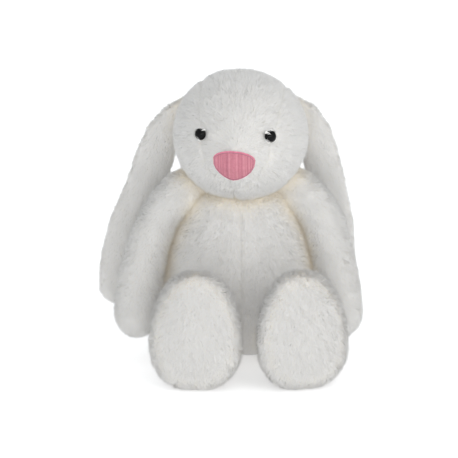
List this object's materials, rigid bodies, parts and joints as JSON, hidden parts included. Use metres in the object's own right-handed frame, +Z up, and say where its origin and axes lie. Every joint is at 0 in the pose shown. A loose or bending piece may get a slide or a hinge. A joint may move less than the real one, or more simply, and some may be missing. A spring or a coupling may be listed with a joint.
{
  "type": "stuffed bunny rabbit",
  "caption": "Seated white plush rabbit with long hanging ears, soft arms, big upright foot soles, a padded pink nose and glossy black eyes, filled with fibre and a seat pouch of pellets.",
  "frame": {"origin": "on the surface that the toy sits on, under the middle of its outline", "axes": "+Z up, the face and soles look along -Y, +X to the right as seen from the front; left and right in node names are as seen from the front too"},
  "size_m": [0.1766, 0.1584, 0.1974],
  "materials": {
    "white_plush": "matte",
    "sole_plush": "matte",
    "nose_thread": "satin",
    "nose_felt": "matte",
    "eye_plastic": "gloss",
    "washer_plastic": "matte",
    "fibre_fill": "matte",
    "pouch_cotton": "matte",
    "pellets": "matte"
  },
  "bodies": {
    "body": {"body_front_left_panel": "white_plush", "body_front_right_panel": "white_plush", "body_back_left_panel": "white_plush", "body_back_right_panel": "white_plush", "seat_panel": "white_plush", "body_stuffing": "fibre_fill", "pellet_pouch": "pouch_cotton", "pellet_fill": "pellets", "tail_cover": "white_plush", "tail_stuffing": "fibre_fill"},
    "neck": {"neck_stuffing": "fibre_fill"},
    "head": {"head_centre_panel": "white_plush", "head_left_panel": "white_plush", "head_right_panel": "white_plush", "head_stuffing": "fibre_fill", "eye_left": "eye_plastic", "eye_right": "eye_plastic", "eye_washer_left": "washer_plastic", "eye_washer_right": "washer_plastic", "nose_embroidery": "nose_thread", "nose_padding": "nose_felt"},
    "ear_left": {"ear_left_front_panel": "white_plush", "ear_left_back_panel": "white_plush"},
    "arm_left": {"arm_left_front_panel": "white_plush", "arm_left_back_panel": "white_plush", "arm_left_stuffing": "fibre_fill"},
    "leg_left": {"leg_left_inner_panel": "white_plush", "leg_left_outer_panel": "white_plush", "foot_left_sole_panel": "sole_plush", "leg_left_stuffing": "fibre_fill"},
    "ear_right": {"ear_right_front_panel": "white_plush", "ear_right_back_panel": "white_plush"},
    "arm_right": {"arm_right_front_panel": "white_plush", "arm_right_back_panel": "white_plush", "arm_right_stuffing": "fibre_fill"},
    "leg_right": {"leg_right_inner_panel": "white_plush", "leg_right_outer_panel": "white_plush", "foot_right_sole_panel": "sole_plush", "leg_right_stuffing": "fibre_fill"}
  },
  "joints": [
    {"name": "head_turn", "type": "hinge", "parent": "body", "child": "neck", "pos_m": [0.00831, 0.01016, 0.1135], "axis": [0, 0, 1], "range_deg": [-10, 10], "stiffness_Nm_per_rad": 0.5},
    {"name": "head_nod", "type": "hinge", "parent": "neck", "child": "head", "pos_m": [0.00831, 0.01016, 0.1135], "axis": [1, 0, 0], "range_deg": [-8, 8], "stiffness_Nm_per_rad": 0.5},
    {"name": "ear_left_lift", "type": "hinge", "parent": "head", "child": "ear_left", "pos_m": [-0.02319, 0.02816, 0.168], "axis": [0, 0.9877, 0.1564], "range_deg": [0, 60]},
    {"name": "ear_right_lift", "type": "hinge", "parent": "head", "child": "ear_right", "pos_m": [0.03981, 0.02816, 0.168], "axis": [0, -0.9877, -0.1564], "range_deg": [0, 60]},
    {"name": "arm_left_lift", "type": "hinge", "parent": "body", "child": "arm_left", "pos_m": [-0.02819, 0.00616, 0.114], "axis": [0, 1, 0], "range_deg": [0, 40]},
    {"name": "arm_right_lift", "type": "hinge", "parent": "body", "child": "arm_right", "pos_m": [0.04481, 0.00616, 0.114], "axis": [0, -1, 0], "range_deg": [0, 40]},
    {"name": "leg_left_lift", "type": "hinge", "parent": "body", "child": "leg_left", "pos_m": [-0.01869, -0.00684, 0.017], "axis": [-0.9986, 0.0523, 0], "range_deg": [0, 20], "stiffness_Nm_per_rad": 0.5},
    {"name": "leg_right_lift", "type": "hinge", "parent": "body", "child": "leg_right", "pos_m": [0.03531, -0.00684, 0.017], "axis": [-0.9744, -0.225, 0], "range_deg": [0, 20], "stiffness_Nm_per_rad": 0.5}
  ]
}
